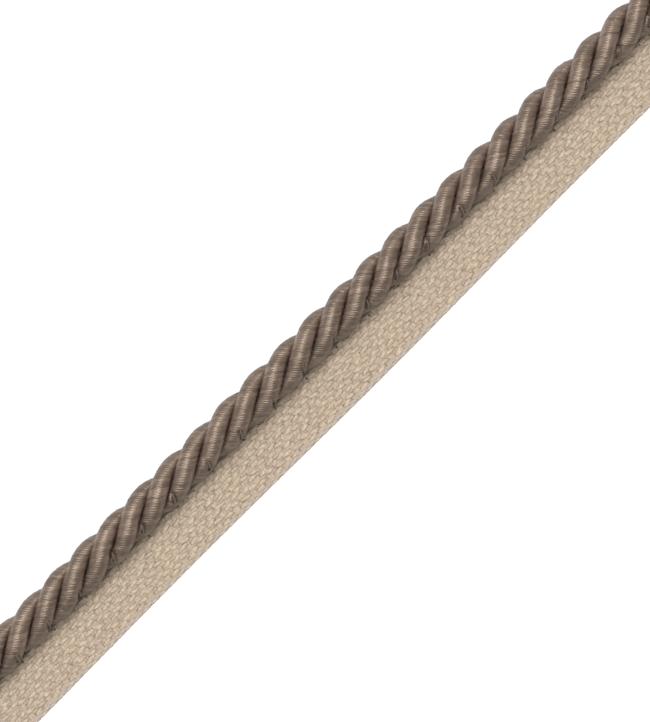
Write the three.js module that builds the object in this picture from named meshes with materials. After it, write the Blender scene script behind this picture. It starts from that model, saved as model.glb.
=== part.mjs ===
import * as THREE from "three";

// A cut length of cord trim: a cord of three plies, sewn down along one edge of a woven tape.
// Lengths are in millimetres. X runs along the trim, Y runs across it from the tape to the cord,
// and Z points up from the surface that the tape lies on. The origin is under the middle of it.

const LENGTH = 240;

// The cord. Its plies are twisted together to the left, and are pressed flat where they meet.
const PLY_COUNT = 3;
const CORD_RADIUS = 4.95;
const PLY_ROUND_RADIUS = 2.72;
const PLY_GAP = 0.3;
const CORD_Y = 5.95;
const ABOVE_TAPE = 0.3;

// One whole turn of the cord, where the turn starts, and the slow wander of a real cord's twist.
const LAY = 27.1;
const START_TURN = 0.69;
const TURN_WANDER = 0.15;
const WANDER_LENGTH = 150;
const WANDER_START = -2.3;

// The tape. Its outer edge wanders a little, and its inner edge runs under the cord.
const TAPE_THICKNESS = 1;
const TAPE_OUTER_Y = -10.67;
const TAPE_INNER_Y = 7.4;
const EDGE_WANDER = 0.23;
const EDGE_WANDER_LENGTH = 129;
const EDGE_CREST_X = 9;

// How finely curves are drawn.
const STEPS_PER_TURN = 22;
const ROUND_STEPS = 4;
const TAPE_STEPS = 48;

const CORD_Z = TAPE_THICKNESS + ABOVE_TAPE + CORD_RADIUS;

const plyMaterial = (name) =>
  new THREE.MeshStandardMaterial({ name, color: 0x78675c, roughness: 0.5, metalness: 0 });
const tapeMaterial =
  new THREE.MeshStandardMaterial({ name: "tape", color: 0xc8b7a0, roughness: 0.95, metalness: 0 });

// The angle that the first ply has turned through at x, from straight up towards the cord's side.
function turnAt(x) {
  const wander = TURN_WANDER * Math.sin((2 * Math.PI * x) / WANDER_LENGTH + WANDER_START);
  return (2 * Math.PI * x) / LAY + START_TURN + wander;
}

// A ply cut straight across the cord. The cord's axis is at 0,0 and the ply's crest is straight up.
// Two flat sides face its neighbours, each with a point half way, and the rest is round.
function plySection() {
  const sector = Math.PI / PLY_COUNT;
  const tip = PLY_GAP / 2 / Math.sin(sector);
  const centre = CORD_RADIUS - PLY_ROUND_RADIUS;
  const drop = centre - tip;
  const chord = PLY_ROUND_RADIUS ** 2 - (drop * Math.sin(sector)) ** 2;
  const flat = drop * Math.cos(sector) + Math.sqrt(chord);
  const flatEnd = { x: flat * Math.sin(sector), y: tip + flat * Math.cos(sector) };
  const from = Math.atan2(flatEnd.y - centre, flatEnd.x);
  const section = new THREE.Shape();
  section.moveTo(0, tip);
  section.lineTo(flatEnd.x / 2, (tip + flatEnd.y) / 2);
  section.lineTo(flatEnd.x, flatEnd.y);
  section.absarc(0, centre, PLY_ROUND_RADIUS, from, Math.PI - from, false);
  section.lineTo(-flatEnd.x / 2, (tip + flatEnd.y) / 2);
  section.closePath();
  return section;
}

// Swaps two corners of each triangle, so that a mirrored geometry's faces point outward again.
function turnFacesOver(points) {
  const second = new THREE.Vector3();
  const third = new THREE.Vector3();
  for (let i = 0; i < points.count; i += 3) {
    second.fromBufferAttribute(points, i + 1);
    third.fromBufferAttribute(points, i + 2);
    points.setXYZ(i + 1, third.x, third.y, third.z);
    points.setXYZ(i + 2, second.x, second.y, second.z);
  }
}

// A straight ply, turned about the cord's axis a little more at each step along it. It is mirrored
// side to side on the way, so that the edge across each wall's quad is the short one.
function plyGeometry(index) {
  const steps = Math.round((LENGTH / LAY) * STEPS_PER_TURN);
  const geometry = new THREE.ExtrudeGeometry(plySection(), {
    depth: LENGTH,
    steps,
    curveSegments: ROUND_STEPS,
    bevelEnabled: false,
  });
  const points = geometry.getAttribute("position");
  for (let i = 0; i < points.count; i += 1) {
    const x = points.getZ(i) - LENGTH / 2;
    const turn = turnAt(x) + (2 * Math.PI * index) / PLY_COUNT;
    const side = -points.getX(i);
    const out = points.getY(i);
    const y = out * Math.sin(turn) + side * Math.cos(turn);
    const z = out * Math.cos(turn) - side * Math.sin(turn);
    points.setXYZ(i, x, y, z);
  }
  turnFacesOver(points);
  geometry.computeVertexNormals();
  return geometry;
}

function ply(name, index) {
  const mesh = new THREE.Mesh(plyGeometry(index), plyMaterial(name));
  mesh.name = name;
  mesh.position.set(0, CORD_Y, CORD_Z);
  return mesh;
}

function tapeEdgeAt(x) {
  const phase = (2 * Math.PI * (x - EDGE_CREST_X)) / EDGE_WANDER_LENGTH;
  return TAPE_OUTER_Y - EDGE_WANDER * Math.cos(phase);
}

// The tape's outline seen from above, as thick as the tape.
function tape() {
  const outline = new THREE.Shape();
  const stations = Array.from({ length: TAPE_STEPS + 1 }, (_, i) => LENGTH * (i / TAPE_STEPS - 0.5));
  outline.moveTo(-LENGTH / 2, TAPE_INNER_Y);
  stations.forEach((x) => outline.lineTo(x, tapeEdgeAt(x)));
  stations.reverse().forEach((x) => outline.lineTo(x, TAPE_INNER_Y));
  const mesh = new THREE.Mesh(
    new THREE.ExtrudeGeometry(outline, { depth: TAPE_THICKNESS, bevelEnabled: false }),
    tapeMaterial,
  );
  mesh.name = "tape";
  return mesh;
}

const group = new THREE.Group();
group.add(tape());
["ply_a", "ply_b", "ply_c"].forEach((name, index) => group.add(ply(name, index)));

export default group;
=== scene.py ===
import math

import bpy
import numpy as np
from mathutils import Matrix, Vector


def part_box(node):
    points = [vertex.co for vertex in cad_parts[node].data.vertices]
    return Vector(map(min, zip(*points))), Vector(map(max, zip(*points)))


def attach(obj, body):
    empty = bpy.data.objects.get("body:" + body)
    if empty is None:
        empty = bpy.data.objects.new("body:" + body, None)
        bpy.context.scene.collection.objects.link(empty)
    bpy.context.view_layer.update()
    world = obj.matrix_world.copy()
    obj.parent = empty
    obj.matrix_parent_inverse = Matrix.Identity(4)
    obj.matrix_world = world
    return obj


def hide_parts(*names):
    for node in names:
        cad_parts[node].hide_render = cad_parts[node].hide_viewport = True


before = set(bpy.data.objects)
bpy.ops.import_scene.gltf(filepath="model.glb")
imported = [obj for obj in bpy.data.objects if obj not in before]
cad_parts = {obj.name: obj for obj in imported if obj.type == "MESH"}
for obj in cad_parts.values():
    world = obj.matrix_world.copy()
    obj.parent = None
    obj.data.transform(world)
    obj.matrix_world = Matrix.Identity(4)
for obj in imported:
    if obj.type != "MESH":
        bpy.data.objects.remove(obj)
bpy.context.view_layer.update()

# Every length below is in millimetres, apart from those of the lights, and every angle is in
# radians. A mesh is scaled to metres when it is made. A name that ends in SEED starts a piece's
# random draws. A name that ends in NOISE is a pair for smooth_random: the spacing between its
# random values, and their spread.
MM = 0.001

# The photograph: its height in pixels, the real size of a pixel at the height SCALE_Z, the slant of
# the trim across it, and the camera's place and lens.
PHOTO_HEIGHT = 722
PIXEL = 0.23
SCALE_Z = 3
TRIM_SLANT = math.radians(45.04)
CENTRE_Y = 0.784
LENS = 100
SENSOR = 36
CLIP_START = 10

# The cord's twist, as in the solids.
PLY_NODES = ("ply_a", "ply_b", "ply_c")
PLY_ROUND_RADIUS = 2.72
LAY = 27.1
START_TURN = 0.69
TURN_WANDER = 0.15
WANDER_LENGTH = 150
WANDER_START = -2.3

# A ply's section: how sharp its corners are, the room between flat sides, the room kept under the
# solid's surface for the relief, and how many sides are drawn, most of them outside the cord.
PLY_SEED = 40
PLY_CORNER = 10
PLY_CLEAR = 0.03
PLY_SLACK = 0.13
PLY_OUTER_ANGLE = 2.1
PLY_OUTER_SIDES = 24
PLY_INNER_ANGLES = (-math.pi, -2.6, 2.6)

# The fine threads wrapped round each ply, many side by side. Their pitch is measured along the
# cord, and the profile is a thread's height on each ring of points across it.
THREAD_PITCH = 0.4
THREADS_A_TURN = 21
THREAD_HEIGHT = 0.08
THREAD_PROFILE = np.array([0, 0.8, 0.98, 0.98, 0.8])
RINGS_A_THREAD = len(THREAD_PROFILE)
THREAD_UNEVEN = 0.03
THREAD_KNOTS = 11
STRAND_NOISE = (0.75, 0.012)
CORE_OUT_NOISE = (3.1, 0.03)
CORE_ASIDE_NOISE = (2.7, 0.03)

# The cut ends of a ply: rings of fibre, each a share of the rim, with a random shade for each face.
CUT_RINGS = (0.88, 0.74, 0.6, 0.45, 0.3, 0.15)
CUT_ROUGH = 0.12
CUT_FIBRES = 4000

# The tape's outer edge, which wanders as in the solid.
EDGE_WANDER = 0.23
EDGE_WANDER_LENGTH = 129
EDGE_CREST_X = 9

# The tape's weave. Ends run along the tape, and picks run across it in pairs. Near the outer edge
# the ends are fine and the picks are thin. Places of ends are measured in from that edge.
EDGE_ENDS = (-0.08, 0.3, 0.68)
EDGE_WIDTH = 1
FIRST_END = 1.12
END_PITCH = 0.747
END_COUNT = 23
PICK_PITCH = 1.4
PICKS_IN_REPEAT = 4
FLOAT_LEVEL = 0.15
# For each end of the repeat: the pick where it floats on top, and which way it sways there.
WEAVE = (
    {"float_at": 3.5, "sway": 1},
    {"float_at": 0.5, "sway": -1},
    {"float_at": 2.5, "sway": -1},
    {"float_at": 1.5, "sway": 1},
)

# The ends. A pair of half widths or heights is for where an end dives and for a float's middle.
WARP_SEED = 11
END_HALF_WIDTH = (0.25, 0.585)
END_HALF_HEIGHT = (0.17, 0.27)
END_BELLY_POWER = 0.8
END_RISE = 0.31
END_SUNK = 0.05
END_SWAY = 0.12
END_SIDES = 7
END_RINGS_A_PICK = 3
END_THICK_UNEVEN = 0.05
END_PLACE_UNEVEN = 0.03
END_THICK_NOISE = (1.9, 0.11)
END_PHASE_NOISE = (6, 0.12)
END_ASIDE_NOISE = (2.1, 0.06)
END_RISE_NOISE = (2.6, 0.14)
EDGE_HALF_WIDTH = 0.22
EDGE_END_Z = 0.02
EDGE_END_RISE = 0.17
EDGE_END_HALF_WAVE = 1.4
EDGE_END_NOISE = (5, 0.4)

# The picks. Their wander grows from its least share at the outer edge to the whole further in.
WEFT_SEED = 12
PICK_SPLIT = 0.32
PICK_HALF_WIDTH = 0.58
PICK_EDGE_HALF_WIDTH = 0.46
PICK_HALF_HEIGHT = 0.14
PICK_EDGE_HALF_HEIGHT = 0.09
PICK_RISE = 0.21
PICK_EDGE_RISE = 0.12
PICK_EDGE_RISE_SHARES = (0.6, 1, 1)
PICK_SIDES = 8
PICK_NOISE = (2, 0.06)
PICK_THICK_NOISE = (9, 0.07)
PICK_FREE_AFTER = 2
PICK_LEAST_FREE = 0.2
LOOP_REACH = 0.05
LOOP_HALF_WIDTH = 0.3
LOOP_WIDTH = 0.1
LOOP_RINGS = 3

# The sewing that holds the cord: at each stitch the thread comes out of the cord's flank, goes down
# over its side and bites into the tape. Angles are from straight up, towards the tape.
STITCH_SEED = 13
STITCH_PITCH = 10.2
STITCH_START = 3.4
STITCH_END_CLEAR = 1
STITCH_JITTER = 0.7
STITCH_RADIUS = 0.17
STITCH_SIDES = 6
STITCH_ANGLES = (0.6, 1.36)
STITCH_ANGLE_JITTER = 0.1
STITCH_LEAN = 1.5
STITCH_SINK = 0.7
STITCH_DEEPEST = 0.9
STITCH_POINTS = 9
BITE_Y = 1.35
BITE_Y_JITTER = 0.1
BITE_LENGTH = 0.6
BITE_SINK = 0.4
BITE_OFFSET = (-0.6, 0.2)
BITE_SLANT = 0.4

# The dent that a stitch presses into a ply, how far along the cord it can reach, and the least
# distance from a ply's middle line that still gives a direction.
DENT_DEPTH = 0.85
DENT_WIDTH = 0.4
DENT_REACH = 3
LEAST_INWARD = 0.1

# The thread along the cord's foot, and the bead of sewing under the cord's middle. The bead is as
# high as the lowest ply above it, at the bead's angles from straight up, and is pressed into it.
FOOT_SEED = 14
FOOT_THREAD_Y = 2.1
FOOT_THREAD_Z = 1.75
FOOT_THREAD_RADIUS = 0.52
FOOT_STEP = 0.3
FOOT_SIDES = 10
FOOT_ASIDE_NOISE = (2.6, 0.07)
FOOT_UP_NOISE = (3.4, 0.06)
FOOT_THICK_NOISE = (0.9, 0.12)
BEAD_ANGLES = (2.84, 3.04, 3.24, 3.44)
BEAD_PRESS = 0.6
BEAD_ASIDE = 0.4
BEAD_HALF_WIDTH = 1.7
BEAD_LEAST_HEIGHT = 0.3
BEAD_ASIDE_NOISE = (2, 0.1)
BEAD_WIDTH_NOISE = (0.8, 0.1)

# How far on along the texture each yarn of a piece starts, so that no two look alike.
NEXT_YARN = 7.3

# The directions across a yarn that lies along the trim. Upward is across the weft's yarn too.
SIDEWAYS = np.array([0.0, 1.0, 0.0])
UPWARD = np.array([0.0, 0.0, 1.0])

# The cord's colours by shade, what makes up a thread's shade, and its gloss, which grows with it.
# The drift's two numbers are its changes round a ply, and from one thread to the next.
CORD_SHADES = (
    (0.3, (0.048, 0.031, 0.024)),
    (0.7, (0.105, 0.07, 0.055)),
    (1, (0.185, 0.13, 0.103)),
)
LEAST_SHADE = 0.175
THREAD_SHADE = 0.45
DRIFT_SHADE = 0.5
STRAND_SHADE = 0.1
DRIFT_STEPS = (14, 3.7)
STRAND_SCALE = 0.35
CORD_ROUGHNESS = 0.61
CORD_GLOSS = 0.24
CORD_IOR = 1.68
CORD_SPECULAR = 1
CORD_SPECULAR_TINT = (1, 0.82, 0.64, 1)
CORD_FIBRES = {"stretch": (3, 9, 1), "turn": 0, "scale": 1, "detail": 3}
CORD_BUMP = {"strength": 0.35, "depth": 0.03}

# Painted shade: the cord's colour is made darker on the side by the tape, as far as the first of
# these places, and is its own colour from the second on.
PAINTED_TAPE_SIDE_SHADE = 0.73
PAINTED_TAPE_SIDE_Y = (3.4, 5.2)

# The sewing thread's colours, across the waves of its twist.
SEWING_SHADES = ((0, (0.07, 0.05, 0.038)), (1, (0.19, 0.145, 0.118)))
SEWING_ROUGHNESS = 0.5
SEWING_TWIST = 1.2

# The tape's colours by fibre, the shade of each yarn along it, painted shade that darkens the gaps
# between the floats by height, and the paler edge by its distances in from the edge.
TAPE_SHADES = ((0.3, (0.385, 0.3, 0.217)), (0.7, (0.65, 0.532, 0.407)))
TAPE_ROUGHNESS = 0.9
TAPE_SPECULAR = 0.3
TAPE_FIBRES = {"stretch": (6, 1.2, 1), "turn": 0.5, "scale": 1.5, "detail": 4}
TAPE_BUMP = {"strength": 0.7, "depth": 0.1}
SLUB_SCALE = 0.45
SLUB_SHADE = 0.34
SLUB_LEAST_SHADE = 0.83
PAINTED_GAP_HEIGHTS = (0.58, 0.86)
PAINTED_GAP_DARKENING = 0.64
PALE_EDGE = (0.4, 1.3)
PALE_COLOUR = (0.57, 0.478, 0.397, 1)

# The white floor, and the lights in metres and watts.
FLOOR_HALF = 1500
FLOOR_COLOUR = (0.95, 0.95, 0.95, 1)
FLOOR_ROUGHNESS = 0.9
LIGHT_DISTANCE = 1.2
LIGHTS = {
    "left": {"direction": (-0.5, 0.26, 0.82), "width": 0.4, "power": 4.3},
    "right": {"direction": (0.46, 0.26, 0.82), "width": 0.4, "power": 4.3},
    "top": {"direction": (0, 0.12, 1), "width": 0.5, "power": 8.2},
}
WORLD_COLOUR = (1, 1, 1, 1)
WORLD_STRENGTH = 0.28


def box_mm(node):
    """The lowest and highest corner of a node's box."""
    low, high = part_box(node)
    return np.array(low) / MM, np.array(high) / MM


TAPE_LOW, TAPE_HIGH = box_mm("tape")
CORD_LOW, CORD_HIGH = box_mm(PLY_NODES[0])
LENGTH = TAPE_HIGH[0] - TAPE_LOW[0]
TAPE_MIDDLE_Z = TAPE_HIGH[2] / 2
CORD_RADIUS = (CORD_HIGH[2] - CORD_LOW[2]) / 2
CORD_Y = (CORD_HIGH[1] + CORD_LOW[1]) / 2
CORD_Z = (CORD_HIGH[2] + CORD_LOW[2]) / 2
PLY_MIDDLE = CORD_RADIUS - PLY_ROUND_RADIUS


def between(pair, share):
    """The value at a share of the way from the first of the pair to the second."""
    return pair[0] + (pair[1] - pair[0]) * share


def joined(knots, place):
    """The value at each place along rows of knots, which stand at 0, 1, 2 and are joined smoothly."""
    index = np.floor(place).astype(int)
    part = place - index
    ease = part * part * (3 - 2 * part)
    return knots[..., index] * (1 - ease) + knots[..., index + 1] * ease


def smooth_random(rng, at, spacing, amount):
    """A slow random wander along at, with a random value every spacing."""
    place = (at - np.min(at)) / spacing
    knots = rng.normal(0, amount, int(np.max(place)) + 2)
    return joined(knots, place)


def make_piece(name, points, faces, uv, material):
    """A mesh object that rides on the part. points are in millimetres, faces is a list of arrays of
    corner numbers, one array for each kind of face, and uv has a pair for each corner."""
    corners = np.concatenate([kind.ravel() for kind in faces]).astype(np.int32)
    sizes = np.concatenate([np.full(len(kind), kind.shape[1]) for kind in faces])
    starts = np.concatenate([[0], np.cumsum(sizes)[:-1]]).astype(np.int32)
    mesh = bpy.data.meshes.new(name)
    mesh.vertices.add(len(points))
    mesh.vertices.foreach_set("co", (points * MM).astype(np.float32).ravel())
    mesh.loops.add(len(corners))
    mesh.loops.foreach_set("vertex_index", corners)
    mesh.polygons.add(len(sizes))
    mesh.polygons.foreach_set("loop_start", starts)
    mesh.update(calc_edges=True)
    layer = mesh.uv_layers.new(name="Yarn")
    places = np.concatenate([kind.reshape(-1, 2) for kind in uv])
    layer.data.foreach_set("uv", places.astype(np.float32).ravel())
    mesh.validate()
    mesh.shade_smooth()
    mesh.materials.append(material)
    piece = bpy.data.objects.new(name, mesh)
    bpy.context.scene.collection.objects.link(piece)
    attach(piece, "root")
    return piece


def cells(grid, across_first=False):
    """The four corners of every cell of grids of numbers or pairs, in order round the cell. The
    axes are the grids, the rows along them and the columns across them."""
    along, across = grid[:, 1:, :-1], grid[:, :-1, 1:]
    if across_first:
        along, across = across, along
    return np.stack([grid[:, :-1, :-1], along, grid[:, 1:, 1:], across], 3)


def turn_at(x, index):
    """The angle that ply number index has turned through at x, from straight up towards +Y."""
    wander = TURN_WANDER * np.sin(2 * math.pi * x / WANDER_LENGTH + WANDER_START)
    return 2 * math.pi * x / LAY + START_TURN + wander + 2 * math.pi * index / len(PLY_NODES)


def ply_radius(angle):
    """A ply's radius about its own middle, at an angle from its crest. It is round, and pressed
    flat where it meets its neighbours, with a soft corner between."""
    side = math.pi / len(PLY_NODES)
    flat = PLY_MIDDLE * math.sin(side) - THREAD_HEIGHT - PLY_CLEAR
    inverse = np.full_like(angle, (PLY_ROUND_RADIUS - THREAD_HEIGHT) ** -PLY_CORNER)
    for sign in (-1, 1):
        facing = np.maximum(np.cos(angle - sign * (math.pi / 2 + side)), 0)
        inverse = inverse + (facing / flat) ** PLY_CORNER
    return inverse ** (-1 / PLY_CORNER)


def on_ply(x, angle, radius, index):
    """The point at x along the cord, and at angle and radius about the middle of a ply."""
    turn = turn_at(x, index)
    out = PLY_MIDDLE + radius * np.cos(angle)
    side = radius * np.sin(angle)
    y = CORD_Y + out * np.sin(turn) + side * np.cos(turn)
    z = CORD_Z + out * np.cos(turn) - side * np.sin(turn)
    return np.stack([x, y, z], -1)


def thread_waves(rng, count, angle):
    """A small random wave along each thread, for each thread and angle."""
    knots = rng.normal(0, THREAD_UNEVEN, (count, THREAD_KNOTS + 1))
    return joined(knots, (angle / (2 * math.pi) + 0.5) * (THREAD_KNOTS - 1))


def ply_relief(rng, x, angle, ring):
    """How far the wrapping thread and the uneven core stand out, for each ring and angle."""
    part = ring % RINGS_A_THREAD
    thread = ring // RINGS_A_THREAD
    waves = thread_waves(rng, thread.max() + 1, angle)
    before = np.maximum(thread - (part == 0), 0)
    relief = THREAD_HEIGHT * THREAD_PROFILE[part][:, None] + (waves[thread] + waves[before]) / 2
    relief = relief + smooth_random(rng, x[:, 0], *STRAND_NOISE)[:, None]
    relief = relief + smooth_random(rng, x[:, 0], *CORE_OUT_NOISE)[:, None] * np.cos(angle)
    return relief + smooth_random(rng, x[:, 0], *CORE_ASIDE_NOISE)[:, None] * np.sin(angle)


def pressed(points, index, stitches):
    """The ply's points, pushed in towards its middle line where a stitch pulls on them."""
    turn = turn_at(points[:, 0], index)
    middle_y = CORD_Y + PLY_MIDDLE * np.sin(turn)
    middle_z = CORD_Z + PLY_MIDDLE * np.cos(turn)
    inward = np.stack([points[:, 0], middle_y, middle_z], -1) - points
    inward = inward / np.maximum(np.linalg.norm(inward, axis=1, keepdims=True), LEAST_INWARD)
    depth = np.zeros(len(points))
    for line in stitches:
        near = np.abs(points[:, 0] - line[:, 0].mean()) < DENT_REACH
        gap = np.linalg.norm(points[near][:, None] - line[None], axis=-1).min(1)
        depth[near] = np.maximum(depth[near], DENT_DEPTH * np.exp(-((gap / DENT_WIDTH) ** 2) / 2))
    return points + inward * depth[:, None]


def ply_faces(angle, first, last, rings):
    """The faces of a ply's side and their uv, which counts threads. Its rings form one long screw.
    Each column of points is held between the two rings where it meets the cuts, first and last."""
    sides = len(angle)
    # The last column joins the first one, one whole turn of the screw further on.
    turn_rings = RINGS_A_THREAD * THREADS_A_TURN
    rows = np.arange(rings + turn_rings)
    columns = [np.clip(rows, first[j], last[j]) * sides + j for j in range(sides)]
    columns.append(np.clip(rows - turn_rings, first[0], last[0]) * sides)
    corner = np.stack(columns, 1)
    v = np.broadcast_to(rows[:, None] / RINGS_A_THREAD, corner.shape)
    u = np.broadcast_to(np.append(angle, math.pi) / (2 * math.pi) + 0.5, corner.shape)
    place = np.stack([u, v], -1)
    quads = cells(corner[None], across_first=True).reshape(-1, 4)
    quad_uv = cells(place[None], across_first=True).reshape(-1, 4, 2)
    # A quad whose edge is held back to a cut becomes a triangle, or nothing.
    near = quads[:, 0] == quads[:, 3]
    far = quads[:, 1] == quads[:, 2]
    kinds = (
        (~near & ~far, [0, 1, 2, 3]),
        (near & ~far, [0, 1, 2]),
        (far & ~near, [0, 1, 3]),
    )
    faces = [quads[kept][:, corners] for kept, corners in kinds]
    uvs = [quad_uv[kept][:, corners] for kept, corners in kinds]
    return faces, uvs


def cut_face(rng, points, rim, end):
    """Closes the cut end of a ply with rings of cut fibre, a little rough. end is -1 or 1."""
    sides = len(rim)
    middle = points[rim].mean(0)
    rings = [rim]
    for share in CUT_RINGS:
        ring = middle + (points[rim] - middle) * share
        ring[:, 0] += end * rng.uniform(-CUT_ROUGH, CUT_ROUGH, sides)
        rings.append(len(points) + np.arange(sides))
        points = np.vstack([points, ring])
    following = np.roll(np.arange(sides), -1)
    faces = []
    for outside, inside in zip(rings[:-1], rings[1:]):
        band = np.stack([outside, inside, inside[following], outside[following]], 1)
        faces.append(band if end < 0 else band[:, ::-1])
    fan = np.stack([rings[-1], np.full(sides, len(points)), rings[-1][following]], 1)
    faces.append(fan if end < 0 else fan[:, ::-1])
    points = np.vstack([points, middle])
    uvs = []
    for kind in faces:
        fibre = rng.integers(0, CUT_FIBRES, len(kind))[:, None] + 0.5
        uvs.append(np.stack([points[kind][..., 1], np.broadcast_to(fibre, kind.shape)], -1))
    return points, faces, uvs


def cord_ply(name, index, stitches, material):
    """A ply, in rings that follow its wrapping thread. The seam of its screw is inside the cord.
    Where a ring passes an end of the cord, it is held back to the cut."""
    rng = np.random.default_rng(PLY_SEED + index)
    step = THREAD_PITCH / RINGS_A_THREAD
    advance = THREAD_PITCH * THREADS_A_TURN
    outer = np.linspace(-PLY_OUTER_ANGLE, PLY_OUTER_ANGLE, PLY_OUTER_SIDES)
    angle = np.sort(np.concatenate([outer, PLY_INNER_ANGLES]))
    reach = advance / 2 + THREAD_PITCH
    ring = np.arange(int((LENGTH + 2 * reach) / step))
    along = -LENGTH / 2 - reach + step * ring
    x = along[:, None] - advance * angle / (2 * math.pi)
    first = (x <= -LENGTH / 2).sum(0) - 1
    last = len(ring) - (x >= LENGTH / 2).sum(0)
    radius = ply_radius(angle) - PLY_SLACK + ply_relief(rng, x, angle, ring)
    x = np.clip(x, -LENGTH / 2, LENGTH / 2)
    points = on_ply(x, angle, radius, index).reshape(-1, 3)
    points = pressed(points, index, stitches)
    faces, uvs = ply_faces(angle, first, last, len(ring))
    for end, rows in ((-1, first), (1, last)):
        rim = rows * len(angle) + np.arange(len(angle))
        points, cut, cut_uv = cut_face(rng, points, rim, end)
        faces += cut
        uvs += cut_uv

    # Points past the cuts are in no face, so they are dropped and the others are numbered anew.
    used, fresh = np.unique(np.concatenate([kind.ravel() for kind in faces]), return_inverse=True)
    sizes = np.cumsum([kind.size for kind in faces])[:-1]
    faces = [part.reshape(kind.shape) for part, kind in zip(np.split(fresh, sizes), faces)]
    piece = make_piece(name, points[used], faces, uvs, material)
    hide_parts(PLY_NODES[index])


def edge_y(x):
    """The tape's outer edge, which wanders slowly, as in the solid."""
    phase = 2 * math.pi * (x - EDGE_CREST_X) / EDGE_WANDER_LENGTH
    return TAPE_LOW[1] + EDGE_WANDER * (1 - np.cos(phase))


def across_tape(x, distance):
    """The place across the tape at a distance from its outer edge."""
    share = distance / (TAPE_HIGH[1] - TAPE_LOW[1])
    return edge_y(x) * (1 - share) + TAPE_HIGH[1] * share


def weave_phase(end, x):
    """An end's place in its over-and-under path: it is 0 at the middle of a float on top."""
    pick = (x + LENGTH / 2) / PICK_PITCH
    return 2 * math.pi * (pick - WEAVE[end % len(WEAVE)]["float_at"]) / PICKS_IN_REPEAT


def flattened(phase):
    """A cosine with broad tops, as a yarn lies level over two picks and dives between."""
    wave = np.cos(phase)
    return wave * (1 + FLOAT_LEVEL - FLOAT_LEVEL * wave * wave)


def tubes(lines, side, up, half_widths, half_heights, sides):
    """Round yarns along lines of points, all of one length. side and up are directions across the
    yarn, for all points or for each. Returns points, faces and uv for all of the yarns."""
    side, up = np.broadcast_to(side, lines.shape), np.broadcast_to(up, lines.shape)
    count, rings = lines.shape[:2]
    angle = 2 * math.pi * np.arange(sides) / sides
    wide = (half_widths[..., None] * np.cos(angle))[..., None] * side[:, :, None, :]
    high = (half_heights[..., None] * np.sin(angle))[..., None] * up[:, :, None, :]
    points = (lines[:, :, None, :] + wide + high).reshape(-1, 3)
    grid = np.arange(count * rings * sides).reshape(count, rings, sides)
    wrapped = np.concatenate([grid, grid[:, :, :1]], 2)
    length = np.zeros((count, rings))
    length[:, 1:] = np.cumsum(np.linalg.norm(np.diff(lines, axis=1), axis=-1), 1)
    start = NEXT_YARN * np.arange(count)[:, None]
    u = np.broadcast_to(np.arange(sides + 1) / sides, wrapped.shape)
    v = np.broadcast_to((length + start)[..., None], wrapped.shape)
    quad_uv = cells(np.stack([u, v], -1)).reshape(-1, 4, 2)
    ends = [grid[:, 0, :], grid[:, -1, ::-1]]
    end_uv = [np.stack([np.cos(angle), np.sin(angle)], -1)[None].repeat(count, 0)] * 2
    return points, [cells(wrapped).reshape(-1, 4)] + ends, [quad_uv] + end_uv


def tape_warp(material):
    """The tape's ends, in a broken two-up two-down twill, with fine ends in its outer edge."""
    rng = np.random.default_rng(WARP_SEED)
    count = len(EDGE_ENDS) + END_COUNT
    rings = int(round(LENGTH / PICK_PITCH * END_RINGS_A_PICK)) + 1
    x = np.linspace(-LENGTH / 2, LENGTH / 2, rings)
    lines = np.zeros((count, rings, 3))
    width = np.full((count, rings), EDGE_HALF_WIDTH)
    height = np.full((count, rings), EDGE_HALF_WIDTH)
    for row in range(count):
        end = row - len(EDGE_ENDS)
        thick = 1 + rng.normal(0, END_THICK_UNEVEN) + smooth_random(rng, x, *END_THICK_NOISE)
        lines[row, :, 0] = x
        if end < 0:
            phase = math.pi * (x / EDGE_END_HALF_WAVE + row)
            wave = np.cos(phase + smooth_random(rng, x, *EDGE_END_NOISE))
            lines[row, :, 1] = across_tape(x, EDGE_ENDS[row])
            lines[row, :, 2] = TAPE_MIDDLE_Z + EDGE_END_Z + EDGE_END_RISE * wave
            continue
        phase = weave_phase(end, x + smooth_random(rng, x, *END_PHASE_NOISE))
        belly = np.abs(np.cos(phase)) ** END_BELLY_POWER
        place = FIRST_END + END_PITCH * end + rng.normal(0, END_PLACE_UNEVEN)
        sway = END_SWAY * WEAVE[end % len(WEAVE)]["sway"] * np.sin(phase)
        aside = smooth_random(rng, x, *END_ASIDE_NOISE)
        rise = END_RISE * (1 + smooth_random(rng, x, *END_RISE_NOISE))
        lines[row, :, 1] = across_tape(x, place) + sway + aside
        lines[row, :, 2] = TAPE_MIDDLE_Z - END_SUNK + rise * flattened(phase)
        width[row] = thick * between(END_HALF_WIDTH, belly)
        height[row] = thick * between(END_HALF_HEIGHT, belly)
    points, faces, uv = tubes(lines, SIDEWAYS, UPWARD, width, height, END_SIDES)
    points[:, 2] = np.maximum(points[:, 2], 0)
    return make_piece("tape_warp", points, faces, uv, material)


def weft_row(rng, x, pick_x, way):
    """One pass of the weft across the tape at x, over and under the ends as its pick at pick_x
    does. way is 1 for a pass inward from the outer edge, and -1 for a pass back."""
    ends = FIRST_END + END_PITCH * np.arange(END_COUNT)
    distance = np.concatenate([[0.0], EDGE_ENDS[1:], ends, [TAPE_HIGH[1] - TAPE_LOW[1]]])
    z = np.full(len(distance), TAPE_MIDDLE_Z)
    z[: len(EDGE_ENDS)] += PICK_EDGE_RISE * np.array(PICK_EDGE_RISE_SHARES)
    for end in range(END_COUNT):
        z[end + len(EDGE_ENDS)] -= PICK_RISE * flattened(weave_phase(end, np.array(pick_x)))
    free = np.clip(distance / PICK_FREE_AFTER, PICK_LEAST_FREE, 1)
    along = x + free * smooth_random(rng, distance, *PICK_NOISE)
    return np.stack([along, across_tape(x, distance), z], -1)[::way]


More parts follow.
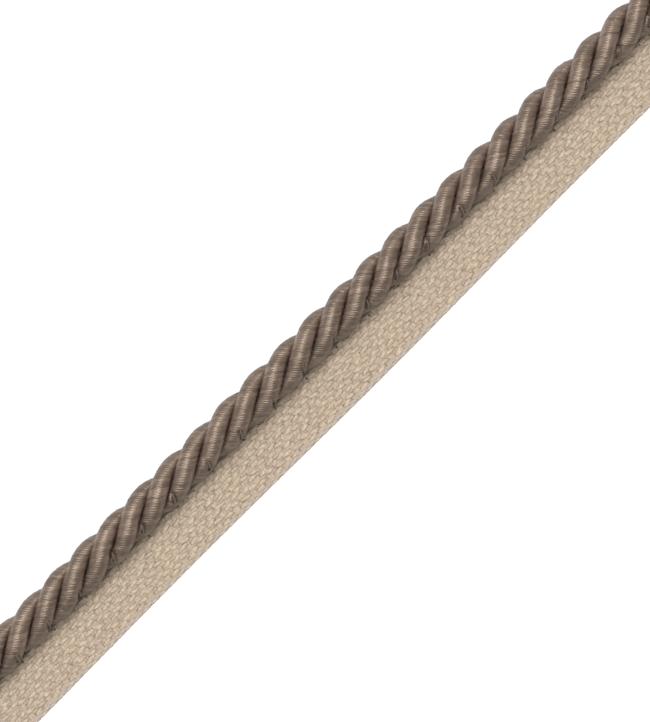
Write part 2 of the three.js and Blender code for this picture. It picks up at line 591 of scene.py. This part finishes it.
def weft_turn(corner, way):
    """The loop where the weft turns at an edge of the tape. way is 1 at the outer edge."""
    angle = np.linspace(0, math.pi, LOOP_RINGS + 2)[1:-1]
    x = corner[0] + PICK_SPLIT * (1 - np.cos(angle))
    y = corner[1] - way * LOOP_REACH * np.sin(angle)
    return np.stack([x, y, np.full(len(angle), corner[2])], -1)


def tape_weft(material):
    """The tape's picks: one yarn that goes back and forth across it and turns at both edges."""
    rng = np.random.default_rng(WEFT_SEED)
    path = []
    way = 1
    for pick in range(1, int(LENGTH / PICK_PITCH) + 1):
        pick_x = -LENGTH / 2 + pick * PICK_PITCH
        for x in (pick_x - PICK_SPLIT, pick_x + PICK_SPLIT):
            if path:
                path.append(weft_turn(path[-1][-1], way))
            path.append(weft_row(rng, x, pick_x, way))
            way = -way
    line = np.vstack(path)[None]
    ahead = np.gradient(line[0], axis=0)
    side = np.cross(UPWARD, ahead)
    side = side / np.linalg.norm(side, axis=1, keepdims=True)
    thick = 1 + smooth_random(rng, np.arange(line.shape[1]), *PICK_THICK_NOISE)[None]
    inside = np.clip(np.abs(line[..., 1] - TAPE_LOW[1]) - EDGE_WIDTH, 0, 1)
    width = between((PICK_EDGE_HALF_WIDTH, PICK_HALF_WIDTH), inside)
    width[line[..., 1] < edge_y(line[..., 0]) + LOOP_WIDTH] = LOOP_HALF_WIDTH
    height = between((PICK_EDGE_HALF_HEIGHT, PICK_HALF_HEIGHT), inside)
    points, faces, uv = tubes(line, side, UPWARD, width * thick, height * thick, PICK_SIDES)
    return make_piece("tape_weft", points, faces, uv, material)


def cord_surface(x, angle):
    """How far the cord's surface is from its middle line, at x and at angles from straight up."""
    reach = np.zeros_like(angle)
    for index in range(len(PLY_NODES)):
        away = (-angle - turn_at(x, index) + math.pi) % (2 * math.pi) - math.pi
        inside = PLY_ROUND_RADIUS**2 - (PLY_MIDDLE * np.sin(away)) ** 2
        reach = np.maximum(reach, PLY_MIDDLE * np.cos(away) + np.sqrt(inside))
    return reach


def stitch_lines():
    """The lines of thread that show at each stitch: over the cord's flank, and in the tape."""
    rng = np.random.default_rng(STITCH_SEED)
    over = []
    bites = []
    start = -LENGTH / 2 + STITCH_START
    share = np.linspace(0, 1, STITCH_POINTS)
    hump = np.sin(math.pi * share)
    for place in np.arange(start, LENGTH / 2 - STITCH_END_CLEAR, STITCH_PITCH):
        top = place + rng.uniform(-STITCH_JITTER, STITCH_JITTER)
        first = STITCH_ANGLES[0] + rng.uniform(-STITCH_ANGLE_JITTER, STITCH_ANGLE_JITTER)
        angle = np.linspace(first, STITCH_ANGLES[1], STITCH_POINTS)
        x = top - STITCH_LEAN * share
        reach = np.maximum(cord_surface(x, angle), CORD_RADIUS - STITCH_DEEPEST)
        reach = reach - STITCH_SINK * (1 - hump)
        over.append(
            np.stack([x, CORD_Y - reach * np.sin(angle), CORD_Z + reach * np.cos(angle)], -1)
        )
        bite_x = x[-1] + rng.uniform(*BITE_OFFSET)
        bite_x = bite_x + BITE_LENGTH * share * rng.uniform(-BITE_SLANT, BITE_SLANT)
        bite_y = BITE_Y + rng.uniform(-BITE_Y_JITTER, BITE_Y_JITTER) - BITE_LENGTH * share
        bites.append(np.stack([bite_x, bite_y, TAPE_HIGH[2] - BITE_SINK * (1 - hump)], -1))
    return over, bites


def stitch_threads(lines, material):
    """The stitches, as short lengths of thread."""
    lines = np.stack(lines)
    ahead = np.gradient(lines, axis=1)
    ahead = ahead / np.linalg.norm(ahead, axis=-1, keepdims=True)
    side = np.cross(ahead, [1, 0, 0])
    side = side / np.linalg.norm(side, axis=-1, keepdims=True)
    up = np.cross(ahead, side)
    thick = np.full(lines.shape[:2], STITCH_RADIUS)
    points, faces, uv = tubes(lines, side, up, thick, thick, STITCH_SIDES)
    make_piece("stitches", points, faces, uv, material)


def foot_thread(material):
    """The sewing under the cord: a thread along its foot, and a bead of threads under its middle
    that fills the hollows between the plies and the tape."""
    rng = np.random.default_rng(FOOT_SEED)
    x = np.linspace(-LENGTH / 2, LENGTH / 2, int(LENGTH / FOOT_STEP))
    tops = [cord_surface(x, np.full(len(x), angle)) * -math.cos(angle) for angle in BEAD_ANGLES]
    bead_top = CORD_Z - np.max(tops, axis=0) + BEAD_PRESS
    foot_y = FOOT_THREAD_Y + smooth_random(rng, x, *FOOT_ASIDE_NOISE)
    foot_z = FOOT_THREAD_Z + smooth_random(rng, x, *FOOT_UP_NOISE)
    foot = np.stack([x, foot_y, foot_z], -1)
    bead_y = CORD_Y - BEAD_ASIDE + smooth_random(rng, x, *BEAD_ASIDE_NOISE)
    bead = np.stack([x, bead_y, (TAPE_HIGH[2] + bead_top) / 2], -1)
    thick = FOOT_THREAD_RADIUS * (1 + smooth_random(rng, x, *FOOT_THICK_NOISE))
    bead_width = BEAD_HALF_WIDTH * (1 + smooth_random(rng, x, *BEAD_WIDTH_NOISE))
    bead_height = np.maximum(bead_top - TAPE_HIGH[2], BEAD_LEAST_HEIGHT) / 2
    lines = np.stack([foot, bead])
    widths = np.stack([thick, bead_width])
    heights = np.stack([thick, bead_height])
    points, faces, uv = tubes(lines, SIDEWAYS, UPWARD, widths, heights, FOOT_SIDES)
    make_piece("foot_thread", points, faces, uv, material)


def new_material(name):
    """A new material, its node tree and its shader."""
    material = bpy.data.materials.new(name)
    material.use_nodes = True
    tree = material.node_tree
    return material, tree, tree.nodes["Principled BSDF"]


def fill_inputs(tree, node, inputs):
    """Sets a node's inputs. Each one is a value, or another node's output to link it to."""
    for socket, value in inputs.items():
        if isinstance(value, bpy.types.NodeSocket):
            tree.links.new(value, node.inputs[socket])
        else:
            node.inputs[socket].default_value = value


def add_node(tree, kind, inputs, **settings):
    """A new node in the tree. Its settings come first, because they decide which inputs it has."""
    node = tree.nodes.new(kind)
    for setting, value in settings.items():
        setattr(node, setting, value)
    fill_inputs(tree, node, inputs)
    return node


def math_node(tree, operation, *values):
    """The result of a sum. Each value is a number or another node's output."""
    node = add_node(tree, "ShaderNodeMath", dict(enumerate(values)), operation=operation)
    return node.outputs[0]


def ramp_node(tree, value, stops):
    """A colour from a ramp, whose stops are pairs of place and colour."""
    ramp = add_node(tree, "ShaderNodeValToRGB", {"Fac": value})
    while len(ramp.color_ramp.elements) < len(stops):
        ramp.color_ramp.elements.new(0.5)
    for element, (place, colour) in zip(ramp.color_ramp.elements, stops):
        element.position = place
        element.color = (*colour, 1)
    return ramp.outputs["Color"]


def split_node(tree, vector):
    """The outputs X, Y and Z of a vector."""
    return add_node(tree, "ShaderNodeSeparateXYZ", {"Vector": vector}).outputs


def yarn_node(tree):
    """A point's place on the map Yarn."""
    return add_node(tree, "ShaderNodeUVMap", {}, uv_map="Yarn").outputs["UV"]


def object_split(tree):
    """The outputs X, Y and Z of a point's place in the part, in metres."""
    return split_node(tree, add_node(tree, "ShaderNodeTexCoord", {}).outputs["Object"])


def fade_node(tree, length, places, low, high):
    """low as far as the first of two places, high from the second on, and even between."""
    start, stop = (place * MM for place in places)
    inputs = {"Value": length, "From Min": start, "From Max": stop, "To Min": low, "To Max": high}
    return add_node(tree, "ShaderNodeMapRange", inputs).outputs["Result"]


def scaled_colour(tree, colour, amount):
    """A colour made darker or paler."""
    inputs = {"Vector": colour, "Scale": amount}
    return add_node(tree, "ShaderNodeVectorMath", inputs, operation="SCALE").outputs[0]


def fibre_node(tree, yarn, stretch, turn, scale, detail):
    """Fine noise that is stretched and turned along a yarn's fibres."""
    inputs = {"Vector": yarn, "Rotation": (0, 0, turn), "Scale": stretch}
    place = add_node(tree, "ShaderNodeMapping", inputs).outputs["Vector"]
    inputs = {"Vector": place, "Scale": scale, "Detail": detail}
    return add_node(tree, "ShaderNodeTexNoise", inputs).outputs["Fac"]


def bump_node(tree, height, strength, depth):
    """A normal that shows fine relief."""
    inputs = {"Height": height, "Strength": strength, "Distance": depth * MM}
    return add_node(tree, "ShaderNodeBump", inputs).outputs["Normal"]


def noise_along(tree, place, scale, detail):
    """Noise along one line of places."""
    inputs = {"W": place, "Scale": scale, "Detail": detail}
    noise = add_node(tree, "ShaderNodeTexNoise", inputs, noise_dimensions="1D")
    return noise.outputs["Fac"]


def cord_material():
    """Lustrous thread. Each thread has its own shade, which drifts along it, and so has each
    strand. Shade is painted on the side by the tape, which is made darker."""
    material, tree, shader = new_material("cord_thread")
    yarn = yarn_node(tree)
    split = split_node(tree, yarn)
    thread = math_node(tree, "FLOOR", split["Y"])
    own = add_node(tree, "ShaderNodeTexWhiteNoise", {"W": thread}, noise_dimensions="1D")
    spot = {
        "X": math_node(tree, "MULTIPLY", split["X"], DRIFT_STEPS[0]),
        "Y": math_node(tree, "MULTIPLY", thread, DRIFT_STEPS[1]),
    }
    spot = add_node(tree, "ShaderNodeCombineXYZ", spot).outputs["Vector"]
    drift = add_node(tree, "ShaderNodeTexNoise", {"Vector": spot, "Scale": 1, "Detail": 1})
    drift = math_node(tree, "MULTIPLY", drift.outputs["Fac"], DRIFT_SHADE)
    strand = noise_along(tree, split["Y"], STRAND_SCALE, 0)
    strand = math_node(tree, "MULTIPLY", strand, STRAND_SHADE)
    shade = math_node(tree, "MULTIPLY_ADD", own.outputs["Value"], THREAD_SHADE, LEAST_SHADE)
    shade = math_node(tree, "ADD", shade, drift)
    shade = math_node(tree, "ADD", shade, strand)
    # Painted shade: the cord's base colour is made darker on the side by the tape.
    foot = fade_node(tree, object_split(tree)["Y"], PAINTED_TAPE_SIDE_Y, PAINTED_TAPE_SIDE_SHADE, 1)
    dull = math_node(tree, "MULTIPLY", shade, -CORD_GLOSS)
    fibre = fibre_node(tree, yarn, **CORD_FIBRES)
    looks = {
        "Base Color": scaled_colour(tree, ramp_node(tree, shade, CORD_SHADES), foot),
        "Roughness": math_node(tree, "ADD", dull, CORD_ROUGHNESS),
        "IOR": CORD_IOR,
        "Specular IOR Level": CORD_SPECULAR,
        "Specular Tint": CORD_SPECULAR_TINT,
        "Normal": bump_node(tree, fibre, **CORD_BUMP),
    }
    fill_inputs(tree, shader, looks)
    return material


def sewing_material():
    """The sewing thread, a little paler than the cord, with the slant of its own twist."""
    material, tree, shader = new_material("sewing_thread")
    inputs = {"Vector": yarn_node(tree), "Scale": SEWING_TWIST}
    twist = add_node(tree, "ShaderNodeTexWave", inputs, bands_direction="DIAGONAL")
    colour = ramp_node(tree, twist.outputs["Fac"], SEWING_SHADES)
    fill_inputs(tree, shader, {"Base Color": colour, "Roughness": SEWING_ROUGHNESS})
    return material


def tape_material():
    """Matte cotton yarn, with painted shade low between the floats, paler along the tape's edge."""
    material, tree, shader = new_material("tape_yarn")
    yarn = yarn_node(tree)
    spot = object_split(tree)
    fibre = fibre_node(tree, yarn, **TAPE_FIBRES)
    pale_from = [TAPE_LOW[1] + distance for distance in reversed(PALE_EDGE)]
    colours = {
        "Factor": fade_node(tree, spot["Y"], pale_from, 0, 1),
        "A": ramp_node(tree, fibre, TAPE_SHADES),
        "B": PALE_COLOUR,
    }
    colour = add_node(tree, "ShaderNodeMix", colours, data_type="RGBA").outputs["Result"]
    slub = noise_along(tree, split_node(tree, yarn)["Y"], SLUB_SCALE, 1)
    slub = math_node(tree, "MULTIPLY_ADD", slub, SLUB_SHADE, SLUB_LEAST_SHADE)
    # Painted shade: the colour is made darker low down in the gaps between the floats.
    gap = fade_node(tree, spot["Z"], PAINTED_GAP_HEIGHTS, PAINTED_GAP_DARKENING, 1)
    looks = {
        "Base Color": scaled_colour(tree, colour, math_node(tree, "MULTIPLY", gap, slub)),
        "Roughness": TAPE_ROUGHNESS,
        "Specular IOR Level": TAPE_SPECULAR,
        "Normal": bump_node(tree, fibre, **TAPE_BUMP),
    }
    fill_inputs(tree, shader, looks)
    return material


def make_camera():
    """Straight above the trim, turned so that it crosses the frame as in the photograph."""
    c, s = math.cos(TRIM_SLANT), math.sin(TRIM_SLANT)
    right, above, back = Vector((c, -s, 0)), Vector((s, c, 0)), Vector((0, 0, 1))
    distance = PHOTO_HEIGHT * PIXEL * LENS / SENSOR
    data = bpy.data.cameras.new("camera")
    data.lens = LENS
    data.sensor_width = SENSOR
    data.clip_start = CLIP_START * MM
    camera = bpy.data.objects.new("camera", data)
    bpy.context.scene.collection.objects.link(camera)
    place = Vector((0, CENTRE_Y, SCALE_Z + distance)) * MM
    turn = Matrix((right, above, back)).transposed().to_4x4()
    camera.matrix_world = Matrix.Translation(place) @ turn
    bpy.context.scene.camera = camera


def make_floor():
    """The white surface that the trim lies on. It isn't a piece of the part."""
    half = FLOOR_HALF * MM
    mesh = bpy.data.meshes.new("floor")
    corners = [(-half, -half, 0), (half, -half, 0), (half, half, 0), (-half, half, 0)]
    mesh.from_pydata(corners, [], [(0, 1, 2, 3)])
    material, tree, shader = new_material("floor")
    fill_inputs(tree, shader, {"Base Color": FLOOR_COLOUR, "Roughness": FLOOR_ROUGHNESS})
    mesh.materials.append(material)
    floor = bpy.data.objects.new("floor", mesh)
    bpy.context.scene.collection.objects.link(floor)


def make_light(name, direction, width, power):
    """A square light in a direction from the trim, which faces it."""
    data = bpy.data.lights.new(name, "AREA")
    data.shape = "RECTANGLE"
    data.size = width
    data.size_y = width
    data.energy = power
    light = bpy.data.objects.new(name, data)
    bpy.context.scene.collection.objects.link(light)
    aim = Vector(direction).normalized()
    light.location = aim * LIGHT_DISTANCE
    light.rotation_mode = "QUATERNION"
    light.rotation_quaternion = aim.to_track_quat("Z", "X")


def make_world():
    """The even light from all round, and the view's colours as they are."""
    world = bpy.data.worlds.new("studio")
    bpy.context.scene.world = world
    world.use_nodes = True
    background = world.node_tree.nodes["Background"]
    background.inputs["Color"].default_value = WORLD_COLOUR
    background.inputs["Strength"].default_value = WORLD_STRENGTH
    bpy.context.scene.view_settings.view_transform = "Standard"


make_camera()
thread = cord_material()
cotton = tape_material()
over, bites = stitch_lines()
for index, node in enumerate(PLY_NODES):
    cord_ply(f"cord_{node}", index, over, thread)
sewing = sewing_material()
stitch_threads(over + bites, sewing)
foot_thread(sewing)
warp = tape_warp(cotton)
weft = tape_weft(cotton)
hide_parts("tape")
make_floor()
make_world()
for name, light in LIGHTS.items():
    make_light(name, **light)
